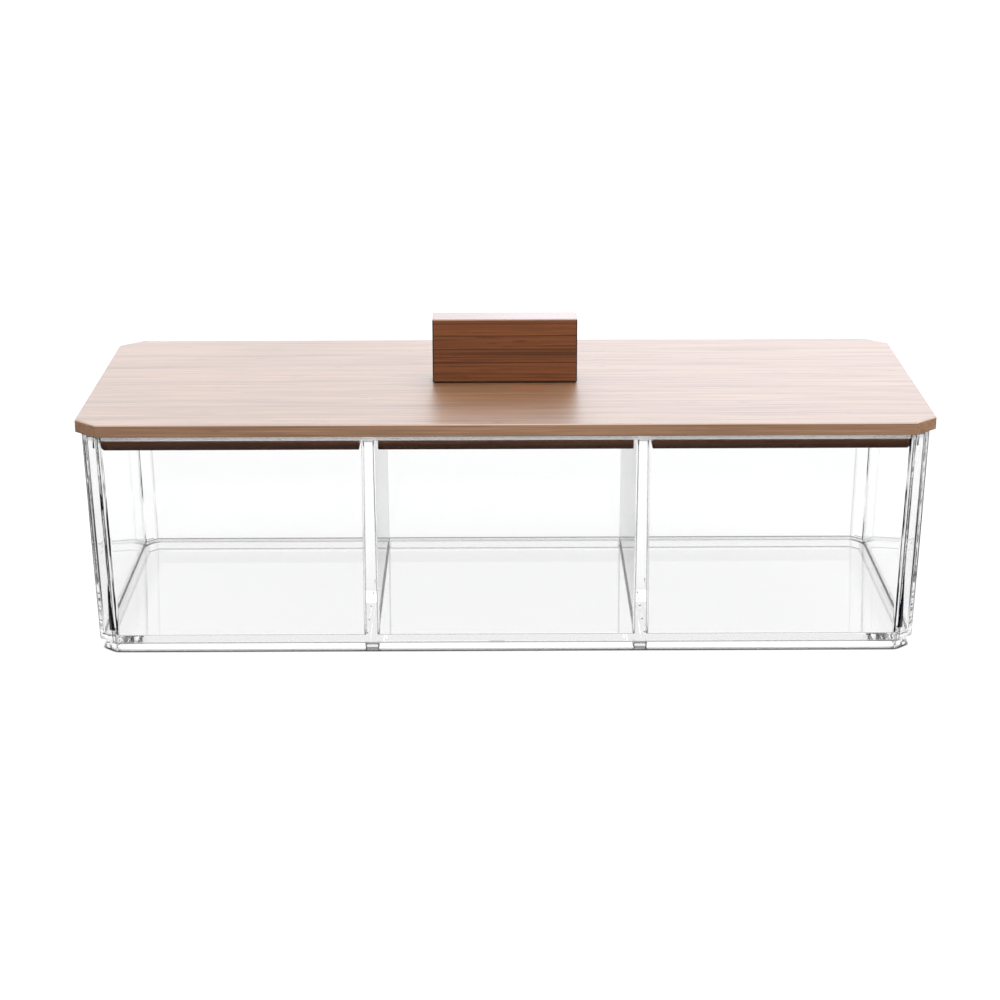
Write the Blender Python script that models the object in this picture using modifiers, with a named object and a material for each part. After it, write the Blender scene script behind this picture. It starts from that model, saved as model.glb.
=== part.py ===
# Storage box: a clear moulded box with three compartments and a lift-off bamboo lid.
# Metres, +Z up, +X along the box, the front faces -Y. The origin is under the box's middle.
import math

import bmesh
import bpy

# Bamboo lid board
LID_LENGTH = 0.280
LID_DEPTH = 0.120
LID_THICKNESS = 0.0042
LID_CORNER = 0.0076
LID_EDGE = 0.0004

# Clear box
BOX_HEIGHT = 0.0750
LID_OVERHANG = 0.0019
WALL = 0.0026
FLOOR = 0.0025
WALL_DRAFT = math.radians(1.9)
BOX_CORNER = 0.0056
BOX_SIDE_ROUND = 0.0012
BOX_BASE_ROUND = 0.0009
RIM_ROUND = 0.0010
FLOOR_FILLET = 0.0015
SIDE_FILLET = 0.0006

# Dividers between the compartments
DIVIDER_SPACING = 0.0892
DIVIDER_THICKNESS = 0.0026
DIVIDER_DRAFT = math.radians(0.35)
DIVIDER_DROP = 0.0025

# Foot ring and the ribs under the dividers
FOOT_HEIGHT = 0.0031
FOOT_INSET = 0.0018
FOOT_WIDTH = 0.0024
FOOT_CORNER = 0.0044
FOOT_ROUND = 0.0004
FOOT_SIDE_ROUND = 0.0010

# Witness of the moulding gate, low on the front wall
GATE_WIDTH = 0.0048
GATE_HEIGHT = 0.0007
GATE_PROUD = 0.0003
GATE_RISE = 0.0005
GATE_OFFSET = 0.0031

# Bamboo pads that centre the lid in the compartments
PAD_THICKNESS = 0.0054
PAD_CLEARANCE = 0.0017
PAD_EDGE = 0.0004

# Bamboo handle
HANDLE_LENGTH = 0.0494
HANDLE_DEPTH = 0.0115
HANDLE_HEIGHT = 0.0220
HANDLE_EDGE = 0.0004

# Wood screws that hold the handle
SCREW_SPACING = 0.0280
SCREW_LENGTH = 0.0220
SCREW_SHANK = 0.0030
SCREW_CORE = 0.0022
SCREW_HEAD = 0.0062
SCREW_HEAD_RIM = 0.0003
SCREW_POINT = 0.0022
SCREW_PITCH = 0.0013
SCREW_THREAD = 0.0090
SCREW_SUNK = 0.0004
RECESS_LENGTH = 0.0032
RECESS_WIDTH = 0.0008
RECESS_DEPTH = 0.0012

# Clearances, and how far a cutter runs past the face it opens
CONTACT_GAP = 0.0003
SCREW_CLEARANCE = 0.0003
OVERRUN = 0.0020

# Sides of a turned shape, steps of a rounded edge, and how near points merge
ROUND_SIDES = 24
ROUND_STEPS = 3
MERGE_DISTANCE = 0.00005

# Heights that follow from the sizes above
FLOOR_TOP = FOOT_HEIGHT + FLOOR
LID_SEAT = BOX_HEIGHT + CONTACT_GAP
LID_TOP = LID_SEAT + LID_THICKNESS
PAD_TOP = LID_SEAT - CONTACT_GAP
PAD_BOTTOM = PAD_TOP - PAD_THICKNESS
HANDLE_BOTTOM = LID_TOP + CONTACT_GAP
SCREW_BOTTOM = PAD_BOTTOM + SCREW_SUNK

# Chamfer of a wall's inner face, which stays parallel to the outer one
INNER_CORNER = BOX_CORNER - WALL * (2.0 - math.sqrt(2.0))
PAD_CORNER = INNER_CORNER - PAD_CLEARANCE * (2.0 - math.sqrt(2.0))
FOOT_INNER_CORNER = FOOT_CORNER - FOOT_WIDTH * (2.0 - math.sqrt(2.0))


def clear_scene():
    for item in list(bpy.data.objects):
        bpy.data.objects.remove(item, do_unlink=True)


def new_collection(name):
    group = bpy.data.collections.new(name)
    bpy.context.scene.collection.children.link(group)
    return group


def new_empty(name, group, parent=None, location=(0.0, 0.0, 0.0)):
    empty = bpy.data.objects.new(name, None)
    empty.empty_display_size = FLOOR_TOP
    empty.parent = parent
    empty.location = location
    group.objects.link(empty)
    return empty


def new_material(name, colour, roughness, metallic=0.0, transmission=0.0):
    material = bpy.data.materials.new(name)
    material.use_nodes = True
    shader = material.node_tree.nodes["Principled BSDF"]
    shader.inputs["Base Color"].default_value = (*colour, 1.0)
    shader.inputs["Roughness"].default_value = roughness
    shader.inputs["Metallic"].default_value = metallic
    shader.inputs["Transmission Weight"].default_value = transmission
    return material


def add_object(name, mesh, group, material=None, parent=None, location=(0.0, 0.0, 0.0)):
    piece = bpy.data.objects.new(name, mesh)
    piece.parent = parent
    piece.location = location
    group.objects.link(piece)
    if material:
        mesh.materials.append(material)
    return piece


# Half of the box's outer length or depth at a height: the walls lean out towards the rim
def outer_half(lid_size, height):
    return lid_size / 2.0 - LID_OVERHANG - (BOX_HEIGHT - height) * math.tan(WALL_DRAFT)


def inner_half(lid_size, height):
    return outer_half(lid_size, height) - WALL


# Half of a divider's thickness at a height
def divider_half(height):
    return DIVIDER_THICKNESS / 2.0 + (BOX_HEIGHT - height) * math.tan(DIVIDER_DRAFT)


# A plan is (left, right, front, back, height)
def outer_plan(height, inset=0.0):
    across = outer_half(LID_LENGTH, height) - inset
    deep = outer_half(LID_DEPTH, height) - inset
    return (-across, across, -deep, deep, height)


# Plan of one compartment at a height, shrunk by a clearance: place is -1, 0 or 1
def compartment_plan(place, height, clearance=0.0):
    deep = inner_half(LID_DEPTH, height) - clearance
    face = DIVIDER_SPACING / 2.0 - divider_half(height) - clearance
    far_face = DIVIDER_SPACING / 2.0 + divider_half(height) + clearance
    end = inner_half(LID_LENGTH, height) - clearance
    if place == 0:
        return (-face, face, -deep, deep, height)
    if place > 0:
        return (far_face, end, -deep, deep, height)
    return (-end, -far_face, -deep, deep, height)


# Chamfer legs of a compartment's left and right corners
def compartment_corners(place, leg):
    return (leg if place < 0 else 0.0, leg if place > 0 else 0.0)


# A block between two plans, with 45 degree corners, and edges rounded by radius:
# rounds are the radii of the bottom, side and top edges
def block(name, low, high, corners, rounds, group, material=None, parent=None,
          location=(0.0, 0.0, 0.0)):
    shape = bmesh.new()
    bmesh.ops.create_cube(shape, size=2.0)
    upright = [edge for edge in shape.edges if edge.verts[0].co.z * edge.verts[1].co.z < 0]
    left_edges = [edge for edge in upright if edge.verts[0].co.x < 0]
    right_edges = [edge for edge in upright if edge.verts[0].co.x > 0]
    for vertex in shape.verts:
        plan = high if vertex.co.z > 0 else low
        vertex.co.x = plan[1] if vertex.co.x > 0 else plan[0]
        vertex.co.y = plan[3] if vertex.co.y > 0 else plan[2]
        vertex.co.z = plan[4]
    for edges, leg in zip((left_edges, right_edges), corners):
        if leg > 0.0:
            bmesh.ops.bevel(shape, geom=edges, offset=leg, offset_type="OFFSET",
                            segments=1, affect="EDGES", profile=0.5)
    largest = max(rounds)
    if largest > 0.0:
        weight = shape.edges.layers.float.new("bevel_weight_edge")
        middle = (low[4] + high[4]) / 2.0
        for edge in shape.edges:
            ends = [vertex.co.z for vertex in edge.verts]
            if max(ends) < middle:
                edge[weight] = rounds[0] / largest
            elif min(ends) > middle:
                edge[weight] = rounds[2] / largest
            else:
                edge[weight] = rounds[1] / largest
    mesh = bpy.data.meshes.new(name)
    shape.to_mesh(mesh)
    shape.free()
    piece = add_object(name, mesh, group, material, parent, location)
    if largest > 0.0:
        rounding = piece.modifiers.new("rounding", "BEVEL")
        rounding.limit_method = "WEIGHT"
        rounding.offset_type = "OFFSET"
        rounding.width = largest
        rounding.segments = ROUND_STEPS
        rounding.use_clamp_overlap = True
    return piece


def combine(piece, other, operation):
    step = piece.modifiers.new(operation.lower() + "_" + other.name, "BOOLEAN")
    step.operation = operation
    step.solver = "EXACT"
    step.object = other


def as_cutter(piece):
    piece.hide_render = True
    piece.display_type = "WIRE"
    return piece


# A turned shape from a profile of (radius, height) points that runs down its outer side
def turned(name, profile, group, material=None, parent=None, location=(0.0, 0.0, 0.0)):
    shape = bmesh.new()
    points = [shape.verts.new((radius, 0.0, height)) for radius, height in profile]
    for start, end in zip(points, points[1:]):
        shape.edges.new((start, end))
    mesh = bpy.data.meshes.new(name)
    shape.to_mesh(mesh)
    shape.free()
    piece = add_object(name, mesh, group, material, parent, location)
    turn = piece.modifiers.new("turn", "SCREW")
    turn.axis = "Z"
    turn.steps = ROUND_SIDES
    turn.render_steps = ROUND_SIDES
    turn.use_merge_vertices = True
    turn.merge_threshold = MERGE_DISTANCE
    turn.use_smooth_shade = True
    return piece


def make_clear_box(parts, tools, plastic, parent):
    box = block("clear_box", outer_plan(FOOT_HEIGHT), outer_plan(BOX_HEIGHT),
                (BOX_CORNER, BOX_CORNER), (BOX_BASE_ROUND, BOX_SIDE_ROUND, RIM_ROUND),
                parts, plastic, parent)
    cut_compartments(box, tools, parent)
    lower_dividers(box, tools, parent)
    add_foot(box, tools, parent)
    add_gate_witness(box, tools, parent)
    return box


# The foot ring stands inside the wall's line, and its top runs into the floor.
# It is open below each compartment, which leaves a rib under each divider.
def add_foot(box, tools, parent):
    ring = outer_plan(FOOT_HEIGHT, FOOT_INSET)[:4]
    top = FOOT_HEIGHT + FLOOR / 2.0
    foot = block("foot_ring", (*ring, 0.0), (*ring, top), (FOOT_CORNER, FOOT_CORNER),
                 (FOOT_ROUND, FOOT_SIDE_ROUND, 0.0), tools, parent=parent)
    inner = outer_plan(FOOT_HEIGHT, FOOT_INSET + FOOT_WIDTH)
    near_rib = DIVIDER_SPACING / 2.0 - divider_half(FLOOR_TOP)
    far_rib = DIVIDER_SPACING / 2.0 + divider_half(FLOOR_TOP)
    spans = {-1: (inner[0], -far_rib), 0: (-near_rib, near_rib), 1: (far_rib, inner[1])}
    for place, span in spans.items():
        plan = (*span, *inner[2:4])
        hollow = block("foot_hollow_" + str(place + 1), (*plan, -OVERRUN), (*plan, top + OVERRUN),
                       compartment_corners(place, FOOT_INNER_CORNER), (0.0, FOOT_SIDE_ROUND, 0.0),
                       tools, parent=parent)
        combine(foot, as_cutter(hollow), "DIFFERENCE")
    combine(box, as_cutter(foot), "UNION")


# A low bar, left where the plastic was fed into the mould
def add_gate_witness(box, tools, parent):
    low = FOOT_HEIGHT + BOX_BASE_ROUND - GATE_RISE
    high = low + GATE_HEIGHT
    front = -outer_half(LID_DEPTH, high)
    span = (-GATE_OFFSET - GATE_WIDTH / 2.0, -GATE_OFFSET + GATE_WIDTH / 2.0)
    depth = (front - GATE_PROUD, front + WALL / 2.0)
    witness = block("gate_witness", (*span, *depth, low), (*span, *depth, high),
                    (0.0, 0.0), (0.0, 0.0, 0.0), tools, parent=parent)
    combine(box, as_cutter(witness), "UNION")


def cut_compartments(box, tools, parent):
    for place in (-1, 0, 1):
        cutter = block("compartment_" + str(place + 1), compartment_plan(place, FLOOR_TOP),
                       compartment_plan(place, BOX_HEIGHT + OVERRUN),
                       compartment_corners(place, INNER_CORNER),
                       (FLOOR_FILLET, SIDE_FILLET, 0.0), tools, parent=parent)
        combine(box, as_cutter(cutter), "DIFFERENCE")


# The dividers stop short of the rim, and their ends keep a shoulder at the wall
def lower_dividers(box, tools, parent):
    low = BOX_HEIGHT - DIVIDER_DROP
    across = divider_half(low) + SIDE_FILLET + OVERRUN
    deep = inner_half(LID_DEPTH, low) - SIDE_FILLET
    for side in (-1, 1):
        centre = side * DIVIDER_SPACING / 2.0
        span = (centre - across, centre + across)
        cutter = block("divider_top_" + str(side + 1), (*span, -deep, deep, low),
                       (*span, -deep, deep, BOX_HEIGHT + OVERRUN), (0.0, 0.0), (0.0, 0.0, 0.0),
                       tools, parent=parent)
        combine(box, as_cutter(cutter), "DIFFERENCE")


def make_lid_board(parts, bamboo, parent):
    across = LID_LENGTH / 2.0
    deep = LID_DEPTH / 2.0
    plan = (-across, across, -deep, deep)
    return block("lid_board", (*plan, 0.0), (*plan, LID_THICKNESS), (LID_CORNER, LID_CORNER),
                 (LID_EDGE, LID_EDGE, LID_EDGE), parts, bamboo, parent)


# The pads hang under the lid board, each inside one compartment's mouth
def make_pads(parts, bamboo, parent):
    names = {-1: "left_locating_pad", 0: "middle_locating_pad", 1: "right_locating_pad"}
    pads = {}
    for place, name in names.items():
        plan = compartment_plan(place, PAD_BOTTOM, PAD_CLEARANCE)[:4]
        pads[place] = block(name, (*plan, -PAD_THICKNESS), (*plan, 0.0),
                            compartment_corners(place, PAD_CORNER),
                            (PAD_EDGE, PAD_EDGE, PAD_EDGE), parts, bamboo, parent,
                            (0.0, 0.0, PAD_TOP - LID_SEAT))
    return pads


def make_handle(parts, bamboo, parent):
    across = HANDLE_LENGTH / 2.0
    deep = HANDLE_DEPTH / 2.0
    plan = (-across, across, -deep, deep)
    return block("handle_block", (*plan, 0.0), (*plan, HANDLE_HEIGHT), (0.0, 0.0),
                 (HANDLE_EDGE, HANDLE_EDGE, HANDLE_EDGE), parts, bamboo, parent,
                 (0.0, 0.0, HANDLE_BOTTOM - LID_SEAT))


# Height of the countersunk cone, whose sides stand at 45 degrees
def head_cone():
    return (SCREW_HEAD - SCREW_SHANK) / 2.0


# Profile of a screw that points up, from its point down to its flat head
def screw_profile():
    core = SCREW_CORE / 2.0
    shank = SCREW_SHANK / 2.0
    head = SCREW_HEAD / 2.0
    points = [(0.0, SCREW_LENGTH), (core, SCREW_LENGTH - SCREW_POINT)]
    turns = int(SCREW_THREAD / SCREW_PITCH)
    for turn in range(turns):
        top = SCREW_LENGTH - SCREW_POINT - turn * SCREW_PITCH
        points.append((shank, top - SCREW_PITCH / 2.0))
        points.append((core, top - SCREW_PITCH))
    points.append((shank, points[-1][1] - SCREW_PITCH / 2.0))
    points.append((shank, SCREW_HEAD_RIM + head_cone()))
    points.append((head, SCREW_HEAD_RIM))
    points.append((head, 0.0))
    points.append((0.0, 0.0))
    return points


# Hole round a screw: shank and countersink, grown by the clearance, open at the bottom
def hole_profile(shown_length):
    bore = SCREW_SHANK / 2.0 + SCREW_CLEARANCE
    sink = SCREW_HEAD / 2.0 + SCREW_CLEARANCE
    return [(0.0, shown_length), (bore, shown_length), (bore, SCREW_HEAD_RIM + head_cone()),
            (sink, SCREW_HEAD_RIM), (sink, -SCREW_SUNK - OVERRUN),
            (0.0, -SCREW_SUNK - OVERRUN)]


# A cross slot in the screw's head
def cut_recess(screw, tools, parent, place):
    for turn, lengths in enumerate(((RECESS_LENGTH, RECESS_WIDTH), (RECESS_WIDTH, RECESS_LENGTH))):
        across = lengths[0] / 2.0
        deep = lengths[1] / 2.0
        plan = (-across, across, -deep, deep)
        slot = block(screw.name + "_slot_" + str(turn), (*plan, -OVERRUN), (*plan, RECESS_DEPTH),
                     (0.0, 0.0), (0.0, 0.0, 0.0), tools, parent=parent, location=place)
        combine(screw, as_cutter(slot), "DIFFERENCE")


def make_screws(parts, tools, steel, parent, holders):
    screws = []
    for name, side in (("left_handle_screw", -1), ("right_handle_screw", 1)):
        place = (side * SCREW_SPACING / 2.0, 0.0, SCREW_BOTTOM - LID_SEAT)
        screw = turned(name, screw_profile(), parts, steel, parent, place)
        cut_recess(screw, tools, parent, place)
        hole = turned(name + "_hole", hole_profile(SCREW_LENGTH + SCREW_CLEARANCE), tools,
                      parent=parent, location=place)
        for holder in holders:
            combine(holder, as_cutter(hole), "DIFFERENCE")
        screws.append(screw)
    return screws


def main():
    clear_scene()
    parts = new_collection("storage_box")
    tools = new_collection("storage_box_cutters")
    plastic = new_material("clear_plastic", (0.96, 0.97, 0.98), 0.03, transmission=1.0)
    board_bamboo = new_material("bamboo_board", (0.80, 0.70, 0.63), 0.45)
    pad_bamboo = new_material("bamboo_pad", (0.22, 0.10, 0.06), 0.5)
    handle_bamboo = new_material("bamboo_handle", (0.45, 0.24, 0.14), 0.45)
    steel = new_material("screw_steel", (0.62, 0.61, 0.58), 0.3, metallic=1.0)

    box_frame = new_empty("box_frame", parts)
    lid_frame = new_empty("lid_frame", parts, box_frame, (0.0, 0.0, LID_SEAT))

    make_clear_box(parts, tools, plastic, box_frame)
    lid_board = make_lid_board(parts, board_bamboo, lid_frame)
    pads = make_pads(parts, pad_bamboo, lid_frame)
    handle = make_handle(parts, handle_bamboo, lid_frame)
    make_screws(parts, tools, steel, lid_frame, (pads[0], lid_board, handle))


main()
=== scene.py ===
import math

import bmesh
import bpy
from mathutils import Matrix, Vector


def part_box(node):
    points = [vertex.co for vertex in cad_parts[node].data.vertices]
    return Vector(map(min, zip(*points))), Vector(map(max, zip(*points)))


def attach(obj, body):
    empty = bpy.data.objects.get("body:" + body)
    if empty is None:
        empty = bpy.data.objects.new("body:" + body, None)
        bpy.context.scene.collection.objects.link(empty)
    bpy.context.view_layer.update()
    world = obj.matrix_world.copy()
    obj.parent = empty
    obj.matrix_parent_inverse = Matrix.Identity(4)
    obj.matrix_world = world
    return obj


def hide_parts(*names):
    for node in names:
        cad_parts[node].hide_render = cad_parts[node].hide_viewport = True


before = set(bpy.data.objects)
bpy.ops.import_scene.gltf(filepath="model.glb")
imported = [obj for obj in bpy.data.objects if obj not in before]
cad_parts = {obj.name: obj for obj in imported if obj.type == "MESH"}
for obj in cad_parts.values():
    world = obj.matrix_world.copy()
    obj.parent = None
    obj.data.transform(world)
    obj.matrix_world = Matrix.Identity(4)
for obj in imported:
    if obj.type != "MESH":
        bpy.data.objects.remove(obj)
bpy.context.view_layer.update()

mm = 0.001
cornerLoss = 2 - math.sqrt(2)  # what a 45 degree corner loses for each mm that its faces move in
print("frame loaded:", ", ".join(sorted(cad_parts)))


# helpers for nodes
def colour(red, green, blue):
    # a colour picked as 0-255 screen values, turned into the linear values that shaders take
    def linear(value):
        value = value / 255
        return value / 12.92 if value <= 0.04045 else ((value + 0.055) / 1.055) ** 2.4
    return (linear(red), linear(green), linear(blue), 1)


def addNode(tree, kind, values=None, **settings):
    node = tree.nodes.new(kind)
    for name, value in settings.items():
        setattr(node, name, value)
    for key, value in (values or {}).items():
        if isinstance(value, bpy.types.NodeSocket):
            tree.links.new(value, node.inputs[key])
        else:
            node.inputs[key].default_value = value
    return node


def maths(tree, operation, first, second=0.0, third=0.0, clamp=False):
    values = {0: first, 1: second}
    if operation == "MULTIPLY_ADD":
        values[2] = third
    return addNode(tree, "ShaderNodeMath", values, operation=operation, use_clamp=clamp).outputs[0]


def remap(tree, value, low, high, newLow=0.0, newHigh=1.0, smooth=True):
    values = {"Value": value, "From Min": low, "From Max": high, "To Min": newLow, "To Max": newHigh}
    node = addNode(tree, "ShaderNodeMapRange", values, clamp=True,
                   interpolation_type="SMOOTHSTEP" if smooth else "LINEAR")
    return node.outputs["Result"]


def band(tree, value, low, high, soft):
    # 1 between low and high
    rise = remap(tree, value, low - soft, low, smooth=False)
    fall = remap(tree, value, high, high + soft, smooth=False)
    return maths(tree, "SUBTRACT", rise, fall, clamp=True)


def apart(tree, value, centre):
    # how far a value lies from the centre, to either side
    return maths(tree, "ABSOLUTE", maths(tree, "SUBTRACT", value, centre))


def mixColour(tree, factor, first, second):
    node = addNode(tree, "ShaderNodeMix", data_type="RGBA")
    for socket, value in ((node.inputs[0], factor), (node.inputs[6], first), (node.inputs[7], second)):
        if isinstance(value, bpy.types.NodeSocket):
            tree.links.new(value, socket)
        else:
            socket.default_value = value
    return node.outputs[2]


def mixShaders(tree, factor, first, second):
    values = {0: factor, 1: first.outputs[0], 2: second.outputs[0]}
    return addNode(tree, "ShaderNodeMixShader", values)


def axes(tree, place):
    return addNode(tree, "ShaderNodeSeparateXYZ", {0: place}).outputs


def grey(tree, value):
    # a colour with this value in its three parts
    return addNode(tree, "ShaderNodeCombineXYZ", {0: value, 1: value, 2: value}).outputs[0]


def millimetres(tree, stretch=(1, 1, 1), shift=(0, 0, 0)):
    # the piece's own coordinates in mm, stretched for a pattern that runs along the grain
    place = addNode(tree, "ShaderNodeTexCoord").outputs["Object"]
    values = {"Vector": place, "Location": shift, "Scale": tuple(1000 * share for share in stretch)}
    return addNode(tree, "ShaderNodeMapping", values).outputs[0]


def noise(tree, place, detail, roughness=0.5):
    values = {"Vector": place, "Scale": 1.0, "Detail": detail, "Roughness": roughness}
    return addNode(tree, "ShaderNodeTexNoise", values).outputs[0]


def newMaterial(name):
    material = bpy.data.materials.new(name)
    material.use_nodes = True
    return material, material.node_tree, material.node_tree.nodes["Principled BSDF"]


def setShader(shader, **values):
    for name, value in values.items():
        shader.inputs[name.replace("_", " ")].default_value = value


def addBump(tree, shader, height, strength, distance):
    bump = addNode(tree, "ShaderNodeBump", {"Strength": strength, "Distance": distance, "Height": height})
    tree.links.new(bump.outputs[0], shader.inputs["Normal"])


# camera, matched to the photo
photoView = {
    "focal": 90.64, "sensor": 36,  # mm
    "near": 0.01, "far": 50,  # metres, what it can see
    "place": (-0.00457, -0.84256, 0.28929),
    "tilt": 16.731,  # degrees below the horizon
    "turn": 0.19,  # degrees to the right of straight ahead
    "roll": -0.156,
}


def makeCamera(view):
    data = bpy.data.cameras.new("photoCamera")
    data.lens = view["focal"]
    data.sensor_width = view["sensor"]
    data.clip_start = view["near"]
    data.clip_end = view["far"]
    camera = bpy.data.objects.new("photoCamera", data)
    bpy.context.scene.collection.objects.link(camera)
    tilt, turn, roll = (math.radians(view[key]) for key in ("tilt", "turn", "roll"))
    forward = Vector((math.sin(turn) * math.cos(tilt), math.cos(turn) * math.cos(tilt), -math.sin(tilt)))
    right = Vector((math.cos(turn), -math.sin(turn), 0))
    up = right.cross(forward)
    rolledRight = math.cos(roll) * right + math.sin(roll) * up
    rolledUp = math.cos(roll) * up - math.sin(roll) * right
    turned = Matrix((rolledRight, rolledUp, -forward)).transposed().to_4x4()
    camera.matrix_world = Matrix.Translation(view["place"]) @ turned
    bpy.context.scene.camera = camera


# studio: a white floor and surroundings, two large lights behind, one above and a weak one in front
studio = {
    "floorSize": 30,
    "floorDrop": 0.05 * mm,  # how far the floor lies under the foot, so that no two faces coincide
    "floorGlow": 0.875,  # what camera, glossy and transmitted rays see of the floor before any light
    "floorShade": 0.215,  # the lit share, which keeps the shadow
    "floorBounce": 0.75,  # how much light the floor throws back at the object
    "contactReach": 1.2 * mm,  # how far the painted contact shadow along the foot reaches
    "contactPower": 4.0, "contactSamples": 8,
    "ribGap": 2.3 * mm,  # half the gap in that painted contact shadow behind each rib, or the dividers show it as a dark bar
    "footOutside": (133.3 * mm, 53.3 * mm, 4.4 * mm),  # half size of the foot ring and its cut corners
    "footInside": (131.6 * mm, 51.6 * mm),
    "backShade": (3.6 * mm, 15.0 * mm),  # from the foot's rear inside, a faint band of painted shade on the floor
    "backSoft": 1.2 * mm, "backShare": 0.11,
    "endShade": (2.0 * mm, 9.0 * mm),  # the same along its two ends
    "endShare": 0.13,
    "paintedFootLight": 1.12,  # painted extra light on the floor inside the foot, which makes up for what the box's floor takes
    "skyLight": 0.90,
    "darkest": 0.0,  # how the front and the sides look in a reflection
    "piped": (8, 12),  # light that runs far inside the plastic sees less of it after so many reflections
    "pipedShare": 0.50,
    "frontEdge": (0.05, 0.45),  # a reflected ray's Y where the dark front ends and the white back starts
    "sideEdge": (0.35, 0.65),  # the same for its X, to the dark sides
    "floorFront": (0.056, 0.066),  # metres in front of the middle where the floor turns dark in reflections
    "floorSide": (0.142, 0.18),
    "floorBack": (0.06, 0.14),  # metres behind the middle where it is white again
    "bounces": 32,  # clear edges carry light through many reflections
}
lamps = {
    "backLeft": {"place": (-0.8, 1.50, 0.85), "aim": -0.8, "size": (1.6, 1.3), "power": 6.9,
                 "colour": (0.90, 1.0, 1.13)},
    "backRight": {"place": (0.8, 1.50, 0.85), "aim": 0.8, "size": (1.6, 1.3), "power": 9.7,
                  "colour": (0.90, 1.0, 1.13)},
    "topLight": {"place": (0.2, 0.0, 1.3), "aim": 0, "size": (1.2, 1.2), "power": 7.2, "colour": (1, 1, 1)},
    "frontLight": {"place": (1.0, -1.0, 0.8), "aim": 0, "size": (1.0, 0.8), "power": 7.3,
                   "colour": (1, 1, 1)},
}


def seenRays(tree):
    # Camera, glossy and transmitted rays see the surroundings, and rays that light a dull surface don't.
    # Reflected rays, also those inside the plastic, find a studio with a dark front and dark sides.
    path = addNode(tree, "ShaderNodeLightPath").outputs
    seen = maths(tree, "MAXIMUM", path["Is Camera Ray"], path["Is Glossy Ray"])
    seen = maths(tree, "MAXIMUM", seen, path["Is Transmission Ray"])
    seen = maths(tree, "MULTIPLY", seen, maths(tree, "LESS_THAN", path["Diffuse Depth"], 0.5))
    depth = path["Glossy Depth"]
    reflected = maths(tree, "GREATER_THAN", depth, 0.5)
    piped = remap(tree, depth, *studio["piped"], 1.0, studio["pipedShare"])
    return seen, maths(tree, "MULTIPLY", reflected, piped)


def reflectedTone(tree, reflected, white):
    # 1 for rays that were never reflected, and from darkest to 1 for the others
    tone = remap(tree, white, 0, 1, studio["darkest"], 1, smooth=False)
    return maths(tree, "MULTIPLY_ADD", reflected, maths(tree, "SUBTRACT", tone, 1.0), 1.0)


def makeWorld():
    world = bpy.data.worlds.new("studioWorld")
    bpy.context.scene.world = world
    world.use_nodes = True
    tree = world.node_tree
    tree.nodes.clear()
    seen, reflected = seenRays(tree)
    direction = axes(tree, addNode(tree, "ShaderNodeTexCoord").outputs["Generated"])
    back = remap(tree, direction["Y"], *studio["frontEdge"])
    side = remap(tree, maths(tree, "ABSOLUTE", direction["X"]), *studio["sideEdge"])
    white = maths(tree, "MULTIPLY", back, maths(tree, "SUBTRACT", 1.0, side))
    light = addNode(tree, "ShaderNodeBackground", {"Color": (1, 1, 1, 1), "Strength": studio["skyLight"]})
    shown = addNode(tree, "ShaderNodeBackground",
                    {"Color": (1, 1, 1, 1), "Strength": reflectedTone(tree, reflected, white)})
    mixed = mixShaders(tree, seen, light, shown)
    addNode(tree, "ShaderNodeOutputWorld", {"Surface": mixed.outputs[0]})


def insideFoot(tree, place):
    # 1 on the floor inside the outline of the foot ring
    halfLength, halfDepth, corner = studio["footOutside"]
    across = maths(tree, "ABSOLUTE", place["X"])
    deep = maths(tree, "ABSOLUTE", place["Y"])
    room = maths(tree, "MINIMUM", maths(tree, "SUBTRACT", halfLength, across),
                 maths(tree, "SUBTRACT", halfDepth, deep))
    cut = maths(tree, "SUBTRACT", halfLength + halfDepth - corner, maths(tree, "ADD", across, deep))
    return maths(tree, "GREATER_THAN", maths(tree, "MINIMUM", room, cut), 0.0)


def paintedContactShadow(tree, place):
    # painted contact shadow close to the foot, on its outside, from ambient occlusion
    contact = addNode(tree, "ShaderNodeAmbientOcclusion", {"Distance": studio["contactReach"]},
                      samples=studio["contactSamples"])
    contactShadow = maths(tree, "POWER", contact.outputs["AO"], studio["contactPower"])
    contactShadow = maths(tree, "MAXIMUM", contactShadow, insideFoot(tree, place))
    fromRib = apart(tree, maths(tree, "ABSOLUTE", place["X"]), clearBox["dividerSpacing"] / 2)
    behindRib = maths(tree, "MULTIPLY", maths(tree, "LESS_THAN", fromRib, studio["ribGap"]),
                      maths(tree, "GREATER_THAN", place["Y"], 0.0))
    return maths(tree, "MAXIMUM", contactShadow, behindRib)


def footShade(tree, place):
    # painted on the floor inside the foot ring: extra light, with a faint band of painted shade along its
    # back and its two ends
    halfLength, halfDepth = studio["footInside"]
    toEnd = maths(tree, "SUBTRACT", halfLength, maths(tree, "ABSOLUTE", place["X"]))
    toBack = maths(tree, "SUBTRACT", halfDepth, place["Y"])
    toFront = maths(tree, "ADD", halfDepth, place["Y"])
    inside = maths(tree, "MINIMUM", maths(tree, "MINIMUM", toEnd, toBack), toFront)
    inside = maths(tree, "GREATER_THAN", inside, 0.0)
    back = maths(tree, "MULTIPLY", band(tree, toBack, *studio["backShade"], studio["backSoft"]),
                 studio["backShare"])
    end = remap(tree, toEnd, *studio["endShade"], studio["endShare"], 0.0)
    shade = maths(tree, "SUBTRACT", studio["paintedFootLight"] - 1, maths(tree, "MAXIMUM", back, end))
    return maths(tree, "MULTIPLY_ADD", inside, shade, 1.0)


def floorWhite(tree, place):
    # in reflections the floor is dark in front of the box and beside it, and white behind
    front = remap(tree, maths(tree, "MULTIPLY", place["Y"], -1.0), *studio["floorFront"])
    side = remap(tree, maths(tree, "ABSOLUTE", place["X"]), *studio["floorSide"])
    back = remap(tree, place["Y"], *studio["floorBack"])
    near = maths(tree, "SUBTRACT", 1.0, maths(tree, "MAXIMUM", front, side))
    return maths(tree, "MAXIMUM", back, near)


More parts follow.
